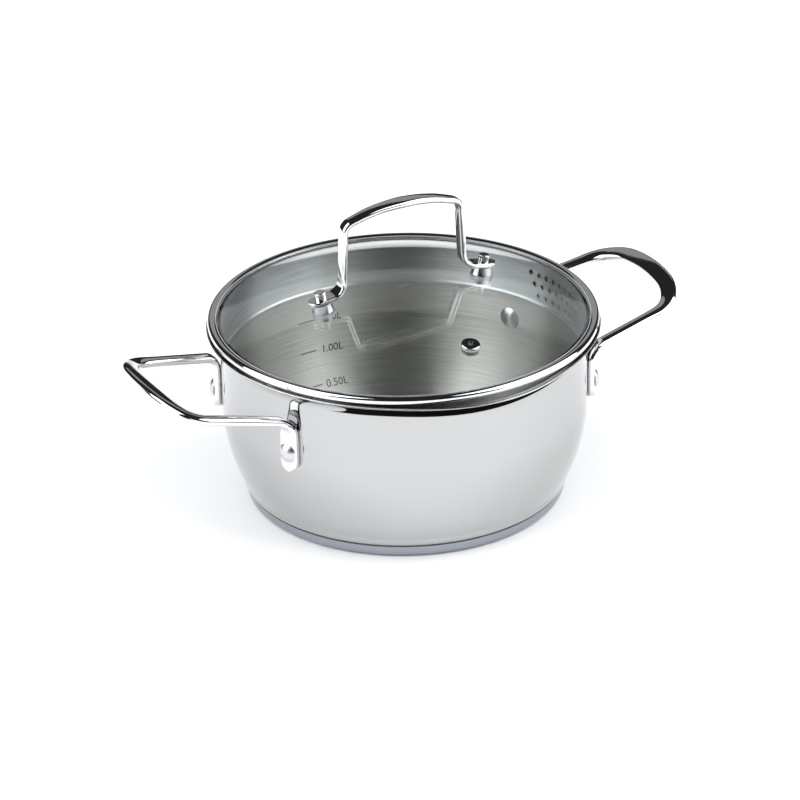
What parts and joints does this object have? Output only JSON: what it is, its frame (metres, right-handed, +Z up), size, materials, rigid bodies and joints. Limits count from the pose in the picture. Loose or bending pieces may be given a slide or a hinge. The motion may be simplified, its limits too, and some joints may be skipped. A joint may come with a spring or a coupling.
{
  "type": "casserole pot with glass strainer lid",
  "caption": "Belly-shaped stainless pot with riveted loop handles, pouring rim, measuring marks and a domed glass lid whose steel skirt doubles as a strainer.",
  "frame": {"origin": "centre of the base's underside, on the surface that the pot stands on", "axes": "+X through the middle of the right side handle, +Y through the pouring spout above the measuring marks, +Z up"},
  "size_m": [0.321, 0.2274, 0.1724],
  "materials": {
    "pot_steel": "stainless steel, mirror-polished outside, satin circumferential brushing inside",
    "base_steel": "stainless steel, fine circular brushing",
    "core_aluminium": "bare, enclosed",
    "polished_steel": "stainless steel, polished",
    "band_steel": "stainless steel, satin",
    "spacer_steel": "turned stainless steel, satin",
    "clear_glass": "clear tempered glass, polished",
    "silicone": "translucent grey silicone, matte"
  },
  "bodies": {
    "pot": {"pot_body": "pot_steel", "base_core": "core_aluminium", "base_cap": "base_steel", "right_side_handle": "polished_steel", "left_side_handle": "polished_steel", "right_front_rivet": "polished_steel", "right_back_rivet": "polished_steel", "left_front_rivet": "polished_steel", "left_back_rivet": "polished_steel"},
    "lift": {"glass_edge_seal": "silicone"},
    "lid": {"lid_glass": "clear_glass", "lid_rim_ring": "polished_steel", "strainer_band": "band_steel", "lid_handle": "polished_steel", "right_handle_screw": "polished_steel", "right_foot_spacer": "spacer_steel", "right_glass_bush": "silicone", "right_retaining_nut": "polished_steel", "left_handle_screw": "polished_steel", "left_foot_spacer": "spacer_steel", "left_glass_bush": "silicone", "left_retaining_nut": "polished_steel", "steam_vent_eyelet": "polished_steel", "steam_vent_seal": "silicone", "steam_vent_backing_washer": "polished_steel"}
  },
  "joints": [
    {"name": "lid_lift", "type": "slide", "parent": "pot", "child": "lift", "axis": [0, 0, 1], "range_m": [0, 0.1]},
    {"name": "lid_turn", "type": "hinge", "parent": "lift", "child": "lid", "pos_m": [0, 0, 0.1], "axis": [0, 0, 1], "continuous": true}
  ]
}
